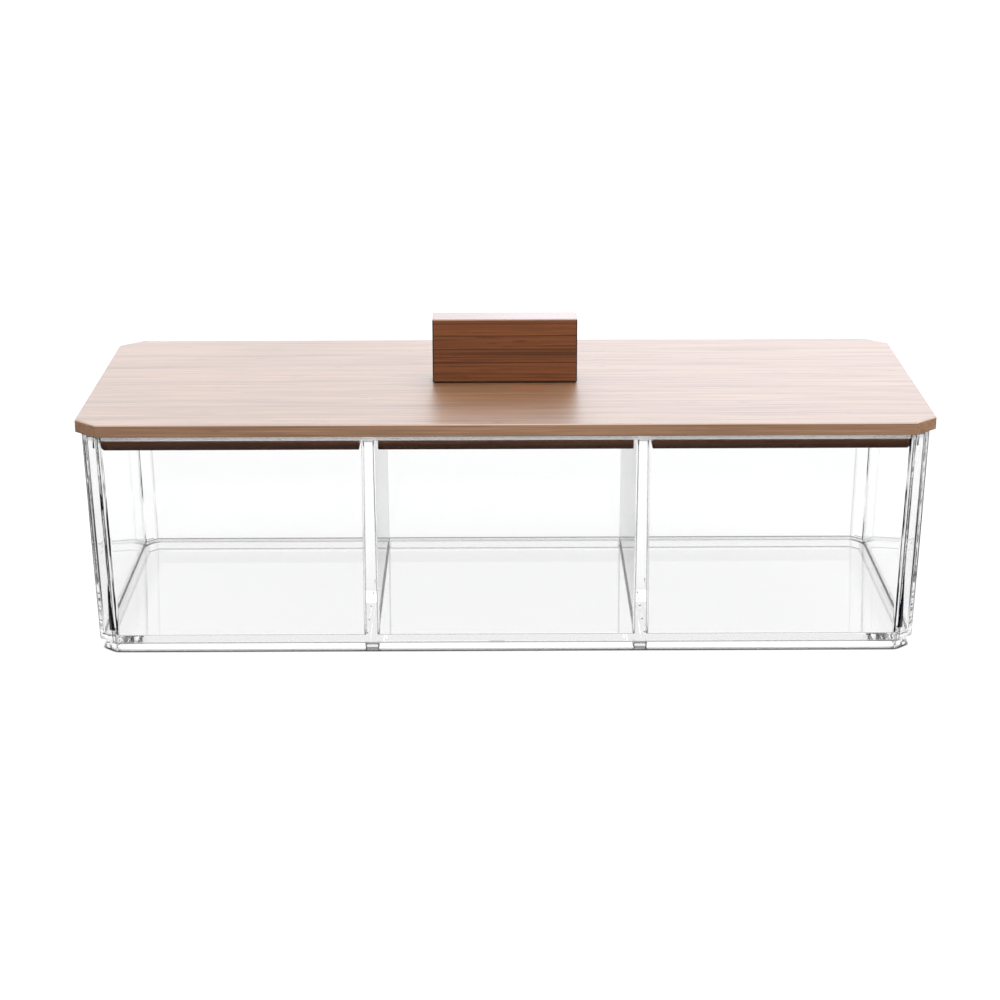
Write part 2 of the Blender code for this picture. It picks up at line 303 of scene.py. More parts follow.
def makeFloor():
    half = studio["floorSize"] / 2
    mesh = bpy.data.meshes.new("studioFloor")
    mesh.from_pydata([(-half, -half, 0), (half, -half, 0), (half, half, 0), (-half, half, 0)], [],
                     [(0, 1, 2, 3)])
    floor = bpy.data.objects.new("studioFloor", mesh)
    floor.location.z = -studio["floorDrop"]
    bpy.context.scene.collection.objects.link(floor)
    material = bpy.data.materials.new("paleFloor")
    material.use_nodes = True
    tree = material.node_tree
    tree.nodes.clear()
    seen, reflected = seenRays(tree)
    place = axes(tree, addNode(tree, "ShaderNodeTexCoord").outputs["Object"])
    tone = reflectedTone(tree, reflected, floorWhite(tree, place))
    # the floor's glow carries the painted contact shadow and the painted light and shade inside the foot
    tone = maths(tree, "MULTIPLY", tone,
                 maths(tree, "MULTIPLY", paintedContactShadow(tree, place), footShade(tree, place)))
    bounce = addNode(tree, "ShaderNodeBsdfDiffuse", {"Color": (*[studio["floorBounce"]] * 3, 1)})
    lit = grey(tree, maths(tree, "MULTIPLY", tone, studio["floorShade"]))
    shade = addNode(tree, "ShaderNodeBsdfDiffuse", {"Color": lit})
    strength = maths(tree, "MULTIPLY", tone, studio["floorGlow"])
    glow = addNode(tree, "ShaderNodeEmission", {"Strength": strength})
    both = addNode(tree, "ShaderNodeAddShader", {0: shade.outputs[0], 1: glow.outputs[0]})
    top = mixShaders(tree, seen, bounce, both)
    under = addNode(tree, "ShaderNodeBsdfTransparent")  # the floor is clear when seen from below
    surface = mixShaders(tree, addNode(tree, "ShaderNodeNewGeometry").outputs["Backfacing"], top, under)
    addNode(tree, "ShaderNodeOutputMaterial", {"Surface": surface.outputs[0]})
    mesh.materials.append(material)


def makeLamps():
    for name, lamp in lamps.items():
        data = bpy.data.lights.new(name, "AREA")
        data.shape = "RECTANGLE"
        data.size, data.size_y = lamp["size"]
        data.energy = lamp["power"]
        data.color = lamp["colour"]
        light = bpy.data.objects.new(name, data)
        light.location = lamp["place"]
        aim = Vector((lamp["aim"], 0, 0)) - Vector(lamp["place"])
        light.rotation_euler = aim.to_track_quat("-Z", "Y").to_euler()
        light.visible_transmission = False
        bpy.context.scene.collection.objects.link(light)


def setLightPaths(scene):
    # clear plastic needs long paths, or its edges turn black
    scene.cycles.max_bounces = studio["bounces"]
    scene.cycles.glossy_bounces = studio["bounces"]
    scene.cycles.transmission_bounces = studio["bounces"]


# bamboo: strips glued side by side, each with fibres along X
bambooLooks = {
    "bamboo_board": {
        "pale": (170, 127, 93), "dark": (134, 96, 66), "fibre": (92, 58, 36),
        "across": "Y", "grain": (0.45, 1.0),  # where the strips lie side by side, fineness along Y and Z
        "stripWidth": 19.0, "stripTone": 0.02,
        "lines": 0.36, "threads": 0.42, "dashes": 0.8,  # how dark each kind of fibre gets
        "roughness": 0.48, "coat": 1.0, "coatRoughness": 0.40, "bump": 0.07,
        "highlightEdge": (79.08, 79.20, 79.42, 79.48),  # heights in mm of the painted highlight along the top edge
        # colour of that painted highlight
        "edge": (240, 218, 200), "highlightShare": 0.5,
        "knot": (172, 104, 66), "knotPlace": (8.0, -12.0), "knotSize": (7.5, 4.0), "knotShare": 0.55,
        "knotSoft": (0.2, 1.1),
    },
    "bamboo_handle": {
        "pale": (143, 84, 45), "dark": (110, 62, 32), "fibre": (54, 25, 13),
        "across": "Z", "grain": (1.0, 1.0),
        "stripWidth": 7.4, "stripTone": 0.05,
        "lines": 0.60, "threads": 0.60, "dashes": 0.9,
        "roughness": 0.38, "coat": 0.75, "coatRoughness": 0.22, "bump": 0.06,
        "glueLines": (96.1, 88.6, 86.7),  # heights in mm of the dark lines between its strips
        "glueWidth": (0.07, 0.17), "glueWander": 0.8, "glueShare": 0.8,
        "paintedEdgeShade": (26, 12, 7), "shadedEnds": (24.15, 24.40), "paintedEdgeShadeShare": 0.8,  # painted shade on its ends
        # painted shade along its foot, heights in mm
        "shadedFoot": (80.15, 80.45),
        # heights in mm of the painted highlight along the top edge, and its colour
        "highlightEdge": (101.40, 101.50, 101.70, 101.78),
        "edge": (232, 200, 176), "highlightShare": 0.45,
    },
    "bamboo_pad": {
        "pale": (146, 92, 60), "dark": (112, 68, 42), "fibre": (70, 38, 22),
        "across": "Y", "grain": (1.0, 1.0),
        "stripWidth": 14.0, "stripTone": 0.10,
        "lines": 0.3, "threads": 0.4, "dashes": 0.5,
        "roughness": 0.7, "coat": 0.0, "coatRoughness": 0.4, "bump": 0.05,
        "lowShade": (38, 22, 13), "lowShadeShare": 0.75, "lowShadeHeights": (70.2, 73.0),  # painted shade, darker low down
    },
}
# each pattern's length along the fibres and fineness across them, for each mm, and the noise values
# between which it turns dark
bambooGrain = {
    "coarse": {"length": 0.008, "fineness": 0.8, "detail": 4.0, "roughness": 0.6},
    "fine": {"length": 0.02, "fineness": 2.4, "detail": 3.0, "roughness": 0.6},
    "lines": {"length": 0.0025, "fineness": 1.7, "shift": (2, 11, 4), "detail": 2.0, "roughness": 0.6,
              "span": (0.55, 0.66)},
    "threads": {"length": 0.03, "fineness": 2.6, "shift": (7, 3, 5), "detail": 2.0, "roughness": 0.5,
                "span": (0.55, 0.70)},
    "dashes": {"length": 0.10, "fineness": 3.0, "shift": (31, 17, 9), "detail": 1.0, "roughness": 0.4,
               "span": (0.70, 0.77)},
}
bambooFinish = {
    "coarseShare": 0.35,  # of the tone, and the rest comes from the fine pattern
    "toneSpan": (0.32, 0.68),  # from dark to pale
    "ior": 1.5,  # of the lacquer and the wood
    "roughSpan": (0.3, 0.7), "roughSpread": 0.04,  # pale wood is a little smoother
    "fibreDepth": 0.6, "bumpDepth": 0.2 * mm,
}


def grainNoise(tree, look, pattern):
    fineness = pattern["fineness"]
    stretch = (pattern["length"], fineness * look["grain"][0], fineness * look["grain"][1])
    place = millimetres(tree, stretch, pattern.get("shift", (0, 0, 0)))
    return noise(tree, place, pattern["detail"], pattern["roughness"])


def bambooMarks(tree, look, base, place, threads):
    # painted shade on the ends and foot, a knot, painted shade low down and a painted highlight on the top
    # edge, where the piece has them
    def paint(share, name):
        return mixColour(tree, share, base, colour(*look[name]))

    # painted shade on the handle's ends and along its foot
    if "paintedEdgeShade" in look:
        ends = maths(tree, "ABSOLUTE", place["X"])
        ends = remap(tree, ends, *look["shadedEnds"], 0.0, look["paintedEdgeShadeShare"])
        foot = remap(tree, place["Z"], *look["shadedFoot"], look["paintedEdgeShadeShare"], 0.0)
        base = paint(maths(tree, "MAXIMUM", ends, foot), "paintedEdgeShade")
    if "knot" in look:
        away = [maths(tree, "DIVIDE", maths(tree, "SUBTRACT", place[axis], centre), size)
                for axis, centre, size in zip("XY", look["knotPlace"], look["knotSize"])]
        away = maths(tree, "ADD", maths(tree, "POWER", away[0], 2.0), maths(tree, "POWER", away[1], 2.0))
        away = maths(tree, "ADD", away, maths(tree, "SUBTRACT", threads, look["threads"] / 2))
        base = paint(remap(tree, away, *look["knotSoft"], look["knotShare"], 0.0), "knot")
    # painted shade, darker low down on the pads
    if "lowShade" in look:
        base = paint(remap(tree, place["Z"], *look["lowShadeHeights"], look["lowShadeShare"], 0.0), "lowShade")
    # painted highlight along the top edge
    if "highlightEdge" in look:
        start, low, high, end = look["highlightEdge"]
        edge = maths(tree, "SUBTRACT", remap(tree, place["Z"], start, low),
                     remap(tree, place["Z"], high, end))
        base = paint(maths(tree, "MULTIPLY", edge, look["highlightShare"]), "edge")
    return base


def makeBamboo(name):
    look, finish = bambooLooks[name], bambooFinish
    material, tree, shader = newMaterial(name)
    place = axes(tree, millimetres(tree))
    side = place[look["across"]]

    strip = maths(tree, "FLOOR", maths(tree, "DIVIDE", side, look["stripWidth"]))
    stripNoise = addNode(tree, "ShaderNodeTexWhiteNoise", {"W": strip}, noise_dimensions="1D").outputs[0]
    coarse = grainNoise(tree, look, bambooGrain["coarse"])
    fine = grainNoise(tree, look, bambooGrain["fine"])
    tone = maths(tree, "MULTIPLY_ADD", coarse, finish["coarseShare"],
                 maths(tree, "MULTIPLY", fine, 1 - finish["coarseShare"]))
    tone = maths(tree, "ADD", tone, maths(tree, "MULTIPLY", maths(tree, "SUBTRACT", stripNoise, 0.5),
                                          look["stripTone"] * 2))
    base = mixColour(tree, remap(tree, tone, *finish["toneSpan"]), colour(*look["dark"]),
                     colour(*look["pale"]))

    # long thin lines, shorter threads and short dashes
    fibres = {}
    for kind in ("lines", "threads", "dashes"):
        pattern = bambooGrain[kind]
        fibres[kind] = remap(tree, grainNoise(tree, look, pattern), *pattern["span"], 0.0, look[kind])
    dark = maths(tree, "MAXIMUM", maths(tree, "MAXIMUM", fibres["threads"], fibres["lines"]),
                 fibres["dashes"])
    for height in look.get("glueLines", ()):
        wander = maths(tree, "MULTIPLY_ADD", maths(tree, "SUBTRACT", coarse, 0.5), look["glueWander"], side)
        glue = remap(tree, apart(tree, wander, height), *look["glueWidth"], look["glueShare"], 0.0)
        dark = maths(tree, "MAXIMUM", dark, glue)
    base = mixColour(tree, dark, base, colour(*look["fibre"]))
    base = bambooMarks(tree, look, base, place, fibres["threads"])

    tree.links.new(base, shader.inputs["Base Color"])
    rough = remap(tree, tone, *finish["roughSpan"], look["roughness"] + finish["roughSpread"],
                  look["roughness"] - finish["roughSpread"])
    tree.links.new(rough, shader.inputs["Roughness"])
    height = maths(tree, "SUBTRACT", fine, maths(tree, "MULTIPLY", dark, finish["fibreDepth"]))
    addBump(tree, shader, height, look["bump"], finish["bumpDepth"])
    setShader(shader, IOR=finish["ior"], Coat_Weight=look["coat"], Coat_Roughness=look["coatRoughness"],
              Coat_IOR=finish["ior"])
    return material


# clear plastic; distances and heights are in mm
clearLook = {
    "tint": (254, 254, 254), "ior": 1.52,
    "wave": 0.02,  # strength of the faint waviness that moulding leaves all over
    "cornerWave": 0.10,  # the same in the upright corners, where the plastic shrinks unevenly
    "waveStretch": (0.02, 0.02, 0.05), "cornerWaveStretch": (0.10, 0.10, 0.14),
    "waveDepth": 1.0 * mm,
    "cornerAcross": (128, 132),  # from the middle along X, where the corners start
    "cornerDeep": (48, 52),  # the same along Y
    "rimHaze": 0.25,  # roughness of the rim, where the two halves of the mould met
    "rimStart": (72.6, 73.4),
    "paintedDark": (1, 1, 2),  # painted reflection: the dark around the studio, as the edges of the corners would show it
    "darkLineSoft": 0.08,
    "outerLines": (0.44, 0.64),  # from each upright edge, on the outside
    "innerLines": (-1.0, 0.42),  # the same on the inside, all the way to the edge
    "backShare": 0.30,  # how strong the painted dark lines on the edges of the back wall are
    # how the painted dark lines break into streaks
    "darkLineStreaks": (0.34, 0.50), "darkLineStretch": (0.9, 0.9, 0.05), "darkLineShift": (3, 1, 0),
    "stripeHeights": (8.0, 33.0), "stripeWidths": (1.35, -0.3),  # painted dark stripe where refraction shows the dark around the studio, low in the front corners
    "stripeShift": 0.4, "stripeBreak": 0.8, "stripeSoft": 0.1, "stripeFoot": (7.8, 8.1),
    # painted dark refraction line around the base, at this height in mm
    "baseLine": 3.55, "baseLineWidth": (0.14, 0.28), "baseLineShare": 0.85,
    "footLine": (0.03, 0.19), "footLineShare": 0.75,  # painted shade on the rounding that the box stands on
    "floorLine": (5.66, 5.94), "floorLineShare": 0.85,  # painted dark refraction line where the compartments' walls meet their floors
    "lineSoft": 0.04,
    "gateHeights": (3.6, 4.1), "gateShare": 0.75,  # a darker band across the gate witness, at the height of its broken edge
    "ribHeights": ((0.3, 1.2), (2.3, 3.2)), "ribHalf": 2.1, "ribShare": 0.9,  # painted reflection of the ribs' ends in the foot
    "ribSoft": 0.3,
    "plainEnd": (1.9, 50.0, 5.4),  # beside a rib, from the middle to the back and up, without refraction
    "shadowTone": 0.94, "plainTone": 0.95,  # share of light that passes straight
    "absorb": 0.6,  # share lost per metre inside the plastic
}
noLow = -1.0  # less than any distance, for a band that starts at nothing


def besideRib(tree, place):
    # distance from the middle of the nearer divider and the rib under it
    return apart(tree, maths(tree, "ABSOLUTE", place["X"]), clearBox["dividerSpacing"] / mm / 2)


def plainEnd(tree, place):
    # the ribs' rear ends would show as dark bars through the dividers' whole depth
    near, back, top = clearLook["plainEnd"]
    inside = maths(tree, "MULTIPLY", maths(tree, "LESS_THAN", besideRib(tree, place), near),
                   maths(tree, "GREATER_THAN", place["Y"], back))
    return maths(tree, "MULTIPLY", inside, maths(tree, "LESS_THAN", place["Z"], top))


def fromEdge(tree, spot, edge):
    # distance in plan from an upright edge of the corners
    parts = [maths(tree, "SUBTRACT", value, centre) for value, centre in zip(spot, edge)]
    squares = [maths(tree, "MULTIPLY", part, part) for part in parts]
    return maths(tree, "SQRT", maths(tree, "ADD", *squares))


def cornerPaintedLines(tree, place, spot, outer, behind, faint):
    # Painted refraction: the corners' upright edges get thin painted dark lines, broken by the waviness,
    # and low down in the front corners they run together to a painted dark stripe
    look, soft = clearLook, clearLook["darkLineSoft"]
    corner, wall = clearBox["corner"] / mm, clearBox["wall"] / mm
    streak = noise(tree, millimetres(tree, look["darkLineStretch"], look["darkLineShift"]), 2.0)
    lines = 0.0
    for inset, leg, span in ((0.0, corner, look["outerLines"]),
                             (wall, corner - wall * cornerLoss, look["innerLines"])):
        for edge, share in (((outer[0] - inset - leg, outer[1] - inset), faint),
                            ((outer[0] - inset, outer[1] - inset - leg), 1.0)):
            line = band(tree, fromEdge(tree, spot, edge), *span, soft)
            lines = maths(tree, "MAXIMUM", lines, maths(tree, "MULTIPLY", line, share))
    paintedDark = maths(tree, "MULTIPLY", lines, remap(tree, streak, *look["darkLineStreaks"]))

    reach = remap(tree, place["Z"], *look["stripeHeights"], *look["stripeWidths"], smooth=False)
    reach = maths(tree, "ADD", reach, maths(tree, "MULTIPLY", maths(tree, "SUBTRACT", streak, 0.5),
                                            look["stripeBreak"]))
    shift = look["stripeShift"]
    fromStripe = fromEdge(tree, spot, (outer[0] - corner + shift, outer[1] - shift))
    stripe = remap(tree, maths(tree, "SUBTRACT", fromStripe, reach), -look["stripeSoft"], 0.0, 1.0, 0.0)
    above = remap(tree, place["Z"], *look["stripeFoot"])
    stripe = maths(tree, "MULTIPLY", stripe, maths(tree, "SUBTRACT", above, behind, clamp=True))
    return maths(tree, "MAXIMUM", paintedDark, stripe)


def lowPaintedLines(tree, place, spot, outer, faint):
    # painted dark refraction lines along the base and the foot, and where the compartments' walls meet
    # their floors
    look = clearLook
    baseLine = remap(tree, apart(tree, place["Z"], look["baseLine"]), *look["baseLineWidth"],
                     look["baseLineShare"], 0.0)
    within = maths(tree, "MAXIMUM", maths(tree, "SUBTRACT", spot[0], outer[0]),
                   maths(tree, "SUBTRACT", spot[1], outer[1]))
    within = maths(tree, "LESS_THAN", within, -clearBox["wall"] / mm / 2)
    baseLine = maths(tree, "SUBTRACT", baseLine, within, clamp=True)
    footLine = maths(tree, "MULTIPLY", band(tree, place["Z"], *look["footLine"], look["lineSoft"]),
                     look["footLineShare"])
    paintedDark = maths(tree, "MULTIPLY", maths(tree, "MAXIMUM", baseLine, footLine), faint)
    floorLine = maths(tree, "MULTIPLY", band(tree, place["Z"], *look["floorLine"], look["lineSoft"]),
                      look["floorLineShare"])
    return maths(tree, "MAXIMUM", paintedDark, maths(tree, "MULTIPLY", floorLine, within))


def gateDarkBand(tree, place, behind):
    # darker band across the gate witness
    look, soft = clearLook, clearLook["darkLineSoft"]
    fromGate = apart(tree, place["X"], -clearBox["gateOffset"] / mm)
    gate = maths(tree, "MULTIPLY", band(tree, fromGate, noLow, clearBox["gateWidth"] / mm / 2, soft),
                 band(tree, place["Z"], *look["gateHeights"], soft))
    return maths(tree, "MULTIPLY", maths(tree, "SUBTRACT", gate, behind, clamp=True), look["gateShare"])


def ribPaintedReflection(tree, place):
    # painted reflection of the ribs' ends, as dark bands on the foot
    look = clearLook
    rib = band(tree, besideRib(tree, place), noLow, look["ribHalf"], look["darkLineSoft"])
    bands = [band(tree, place["Z"], low, top, look["ribSoft"]) for low, top in look["ribHeights"]]
    return maths(tree, "MULTIPLY", maths(tree, "MULTIPLY", rib, maths(tree, "ADD", *bands)),
                 look["ribShare"])


def paintedDarkLines(tree, place):
    # where the plastic's colour is painted dark to stand in for refraction and reflection lines, on
    # outlines that follow the walls' draft
    lean = maths(tree, "MULTIPLY", maths(tree, "SUBTRACT", clearBox["height"] / mm, place["Z"]),
                 math.tan(math.radians(clearBox["draft"])))
    spot = [maths(tree, "ADD", maths(tree, "ABSOLUTE", place[axis]), lean) for axis in "XY"]
    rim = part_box("lid_board")[1]
    outer = ((rim.x - clearBox["rimInset"]) / mm, (rim.y - clearBox["rimInset"]) / mm)
    behind = maths(tree, "GREATER_THAN", place["Y"], 0.0)
    faint = remap(tree, behind, 0, 1, 1.0, clearLook["backShare"], smooth=False)
    paintedDark = cornerPaintedLines(tree, place, spot, outer, behind, faint)
    paintedDark = maths(tree, "MAXIMUM", paintedDark, lowPaintedLines(tree, place, spot, outer, faint))
    paintedDark = maths(tree, "MAXIMUM", paintedDark, gateDarkBand(tree, place, behind))
    return maths(tree, "MAXIMUM", paintedDark, ribPaintedReflection(tree, place))


def makeClearPlastic():
    look = clearLook
    material, tree, shader = newMaterial("clear_plastic")
    setShader(shader, IOR=look["ior"], Transmission_Weight=1.0)
    place = axes(tree, millimetres(tree))
    haze = remap(tree, place["Z"], *look["rimStart"], 0.0, look["rimHaze"])
    tree.links.new(haze, shader.inputs["Roughness"])
    # the plastic's colour carries the painted dark lines
    tint = mixColour(tree, paintedDarkLines(tree, place), colour(*look["tint"]), colour(*look["paintedDark"]))
    tree.links.new(tint, shader.inputs["Base Color"])

    broad = noise(tree, millimetres(tree, look["waveStretch"]), 1.0)
    short = noise(tree, millimetres(tree, look["cornerWaveStretch"]), 2.0)
    corner = maths(tree, "MULTIPLY",
                   remap(tree, maths(tree, "ABSOLUTE", place["X"]), *look["cornerAcross"]),
                   remap(tree, maths(tree, "ABSOLUTE", place["Y"]), *look["cornerDeep"]))
    wave = maths(tree, "ADD", maths(tree, "MULTIPLY", broad, look["wave"]),
                 maths(tree, "MULTIPLY", maths(tree, "MULTIPLY", short, corner), look["cornerWave"]))
    addBump(tree, shader, wave, 1.0, look["waveDepth"])

    plain = plainEnd(tree, place)
    passed = remap(tree, plain, 0, 1, look["shadowTone"], look["plainTone"], smooth=False)
    clear = addNode(tree, "ShaderNodeBsdfTransparent", {"Color": grey(tree, passed)})
    path = addNode(tree, "ShaderNodeLightPath").outputs
    straight = maths(tree, "MAXIMUM", path["Is Shadow Ray"], plain)
    output = next(node for node in tree.nodes if node.type == "OUTPUT_MATERIAL")
    tree.links.new(mixShaders(tree, straight, shader, clear).outputs[0], output.inputs["Surface"])
    volume = addNode(tree, "ShaderNodeVolumeAbsorption", {"Color": (0, 0, 0, 1), "Density": look["absorb"]})
    tree.links.new(volume.outputs[0], output.inputs["Volume"])
    return material


# shapes: each is a block or a cut made with blocks
def block(name, low, high, corners, rounds, steps=6):
    # a block between two plans (left, right, front, back, height), with 45 degree corners at its left
    # and its right end; rounds are the radii of the bottom, side and top edges
    shape = bmesh.new()
    bmesh.ops.create_cube(shape, size=2)
    upright = [edge for edge in shape.edges if edge.verts[0].co.z * edge.verts[1].co.z < 0]
    leftEdges = [edge for edge in upright if edge.verts[0].co.x < 0]
    rightEdges = [edge for edge in upright if edge.verts[0].co.x > 0]
    for vertex in shape.verts:
        plan = high if vertex.co.z > 0 else low
        vertex.co.x = plan[1] if vertex.co.x > 0 else plan[0]
        vertex.co.y = plan[3] if vertex.co.y > 0 else plan[2]
        vertex.co.z = plan[4]
    for edges, leg in zip((leftEdges, rightEdges), corners):
        if leg > 0:
            bmesh.ops.bevel(shape, geom=edges, offset=leg, offset_type="OFFSET", segments=1,
                            affect="EDGES", profile=0.5)
    largest = max(rounds)
    weight = shape.edges.layers.float.new("bevel_weight_edge")
    middle = (low[4] + high[4]) / 2
    for edge in shape.edges:
        heights = [vertex.co.z for vertex in edge.verts]
        kind = 0 if max(heights) < middle else 2 if min(heights) > middle else 1
        edge[weight] = rounds[kind] / largest if largest else 0
    mesh = bpy.data.meshes.new(name)
    shape.to_mesh(mesh)
    shape.free()
    piece = bpy.data.objects.new(name, mesh)
    bpy.context.scene.collection.objects.link(piece)
    if largest:
        rounding = piece.modifiers.new("rounding", "BEVEL")
        rounding.limit_method = "WEIGHT"
        rounding.offset_type = "OFFSET"
        rounding.width = largest
        rounding.segments = steps
    return piece


def combine(piece, helper, operation):
    step = piece.modifiers.new(helper.name, "BOOLEAN")
    step.operation = operation
    step.solver = "EXACT"
    step.object = helper
    return helper


def settle(piece, helpers):
    # bakes the modifiers into the mesh and drops the helper shapes
    bpy.context.view_layer.update()
    graph = bpy.context.evaluated_depsgraph_get()
    mesh = bpy.data.meshes.new_from_object(piece.evaluated_get(graph))
    piece.modifiers.clear()
    piece.data = mesh
    for helper in helpers:
        bpy.data.objects.remove(helper, do_unlink=True)


def smoothRounds(piece, angle=32):
    # flat faces stay flat, and roundings of less than this angle a step run smoothly between them
    for face in piece.data.polygons:
        face.use_smooth = True
    piece.data.set_sharp_from_angle(angle=math.radians(angle))
    even = piece.modifiers.new("evenNormals", "WEIGHTED_NORMAL")
    even.mode = "FACE_AREA"
    even.weight = 100
    even.keep_sharp = True


def dress(piece, material):
    piece.data.materials.clear()
    piece.data.materials.append(material)


# clear box, moulded in one piece: finer roundings than the CAD solid, on the same outline
clearBox = {
    "height": 75.0 * mm, "rimInset": 1.9 * mm,  # from the lid's edge to the rim
    "wall": 2.6 * mm, "floor": 2.5 * mm, "draft": 1.9, "corner": 5.6 * mm,
    "sideRound": 1.2 * mm, "baseRound": 0.9 * mm, "rimRound": 1.0 * mm,
    "leadIn": 1.2 * mm, "leadInHeight": 1.75 * mm,  # bevel inside the rim that guides the pads in
    "floorFillet": 0.5 * mm, "sideFillet": 1.0 * mm,
    "dividerSpacing": 89.2 * mm, "dividerThickness": 2.6 * mm, "dividerDraft": 0.35,
    "dividerDrop": 2.5 * mm,  # from the rim to the dividers' tops
    "footHeight": 3.1 * mm, "footInset": 1.8 * mm, "footWidth": 2.4 * mm, "footCorner": 4.4 * mm,
    "footRound": 0.4 * mm, "footSideRound": 1.0 * mm,
    "gateWidth": 4.8 * mm, "gateHeight": 0.7 * mm, "gateProud": 0.3 * mm,
    "gateOffset": 3.1 * mm,  # to the left of the middle
    "gateRise": 0.5 * mm,  # how far it starts below the base's rounding
    "overrun": 2.0 * mm,  # how far a cutting shape reaches past what it cuts
    "steps": 6,
}
noCorners = (0, 0)
noRounds = (0, 0, 0)


def outerHalf(half, height):
    # half the box's length or depth at a height, from half of the lid's
    slope = math.tan(math.radians(clearBox["draft"]))
    return half - clearBox["rimInset"] - (clearBox["height"] - height) * slope


def outerPlan(height, inset=0.0, at=None):
    # the box's outline at a height, which may be set at another one
    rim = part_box("lid_board")[1]
    across, deep = outerHalf(rim.x, height) - inset, outerHalf(rim.y, height) - inset
    return (-across, across, -deep, deep, height if at is None else at)


def dividerHalf(height):
    lean = math.tan(math.radians(clearBox["dividerDraft"]))
    return clearBox["dividerThickness"] / 2 + (clearBox["height"] - height) * lean


def compartmentPlan(place, height):
    # -1, 0 and 1 are the left, the middle and the right compartment
    left, right, front, back = outerPlan(height, clearBox["wall"])[:4]
    near = clearBox["dividerSpacing"] / 2 - dividerHalf(height)
    far = clearBox["dividerSpacing"] / 2 + dividerHalf(height)
    spans = {-1: (left, -far), 0: (-near, near), 1: (far, right)}
    return (*spans[place], front, back, height)


def legs(place, leg):
    # only the outer ends of the outer compartments have cut corners
    return (leg if place < 0 else 0, leg if place > 0 else 0)


def hollowCompartments(box):
    size = clearBox
    floorTop = size["footHeight"] + size["floor"]
    corner = size["corner"] - size["wall"] * cornerLoss
    helpers = []
    for place in (-1, 0, 1):
        hollow = block("hollow", compartmentPlan(place, floorTop),
                       compartmentPlan(place, size["height"] + size["overrun"]), legs(place, corner),
                       (size["floorFillet"], size["sideFillet"], 0), size["steps"])
        helpers.append(combine(box, hollow, "DIFFERENCE"))
    return helpers


def bevelRim(box):
    size = clearBox
    low, high = size["height"] - size["leadInHeight"], size["height"] + size["overrun"]
    grow = size["leadIn"] / size["leadInHeight"] * (high - low)
    leadIn = block("leadIn", outerPlan(low, size["wall"]), outerPlan(high, size["wall"] - grow),
                   (size["corner"] - size["wall"] * cornerLoss,) * 2, noRounds)
    return [combine(box, leadIn, "DIFFERENCE")]


def lowerDividers(box):
    size = clearBox
    low = size["height"] - size["dividerDrop"]
    across = dividerHalf(low) + size["sideFillet"] + size["overrun"]
    deep = outerPlan(low, size["wall"])[3] - size["sideFillet"]
    helpers = []
    for side in (-1, 1):
        centre = side * size["dividerSpacing"] / 2
        plan = (centre - across, centre + across, -deep, deep)
        notch = block("notch", (*plan, low), (*plan, size["height"] + size["overrun"]), noCorners, noRounds)
        helpers.append(combine(box, notch, "DIFFERENCE"))
    return helpers


def addFoot(box):
    # a ring under the floor, with a rib under each divider
    size = clearBox
    top = size["footHeight"] + size["floor"] / 2
    foot = block("foot", outerPlan(size["footHeight"], size["footInset"], 0),
                 outerPlan(size["footHeight"], size["footInset"], top), (size["footCorner"],) * 2,
                 (size["footRound"], size["footSideRound"], 0), size["steps"])
    inset = size["footInset"] + size["footWidth"]
    left, right, front, back = outerPlan(size["footHeight"], inset)[:4]
    rib = dividerHalf(size["footHeight"] + size["floor"])
    spacing = size["dividerSpacing"] / 2
    corner = size["footCorner"] - size["footWidth"] * cornerLoss
    helpers = []
    for place, span in ((-1, (left, -spacing - rib)), (0, (-spacing + rib, spacing - rib)),
                        (1, (spacing + rib, right))):
        hollow = block("footHollow", (*span, front, back, -size["overrun"]),
                       (*span, front, back, top + size["overrun"]), legs(place, corner),
                       (0, size["footSideRound"], 0), size["steps"])
        helpers.append(combine(foot, hollow, "DIFFERENCE"))
    return [*helpers, combine(box, foot, "UNION")]


def addGate(box):
    # what is left of the moulding's gate, low on the front
    size = clearBox
    low = size["footHeight"] + size["baseRound"] - size["gateRise"]
    front = outerPlan(low)[2]
    plan = (-size["gateOffset"] - size["gateWidth"] / 2, -size["gateOffset"] + size["gateWidth"] / 2,
            front - size["gateProud"], front + size["wall"] / 2)
    gate = block("gateWitness", (*plan, low), (*plan, low + size["gateHeight"]), noCorners, noRounds)
    return [combine(box, gate, "UNION")]


def makeClearBox(material):
    size = clearBox
    box = block("clear_box_moulding", outerPlan(size["footHeight"]), outerPlan(size["height"]),
                (size["corner"],) * 2, (size["baseRound"], size["sideRound"], size["rimRound"]),
                size["steps"])
    helpers = [*hollowCompartments(box), *bevelRim(box), *lowerDividers(box), *addFoot(box), *addGate(box)]
    settle(box, helpers)
    dress(box, material)
    smoothRounds(box)
    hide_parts("clear_box")
    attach(box, "box")


# bamboo pieces: the same blocks as the CAD solids, with finer edges that catch the light
wood = {
    "edge": 0.4 * mm, "steps": 4,  # rounding of every edge
    "lidCorner": 7.6 * mm, "padClearance": 1.7 * mm,
    "screwSpacing": 28.0 * mm,
    "boreRadius": 1.8 * mm, "boreTop": 22.3 * mm,  # heights are from the underside of the screw's head
    "sinkRadius": 3.4 * mm, "sinkTop": 1.9 * mm, "sinkEdge": 0.3 * mm, "sinkBottom": -2.4 * mm,
    "boreSides": 32, "boreMerge": 0.01 * mm,
}
# which slot each piece has, which of its ends have cut corners, and whether the screws go through it
woodenPieces = {
    "lid_board": {"slot": "bamboo_board", "ends": (1, 1), "screwed": True},
    "left_locating_pad": {"slot": "bamboo_pad", "ends": (1, 0), "screwed": False},
    "middle_locating_pad": {"slot": "bamboo_pad", "ends": (0, 0), "screwed": True},
    "right_locating_pad": {"slot": "bamboo_pad", "ends": (0, 1), "screwed": False},
    "handle_block": {"slot": "bamboo_handle", "ends": (0, 0), "screwed": True},
}


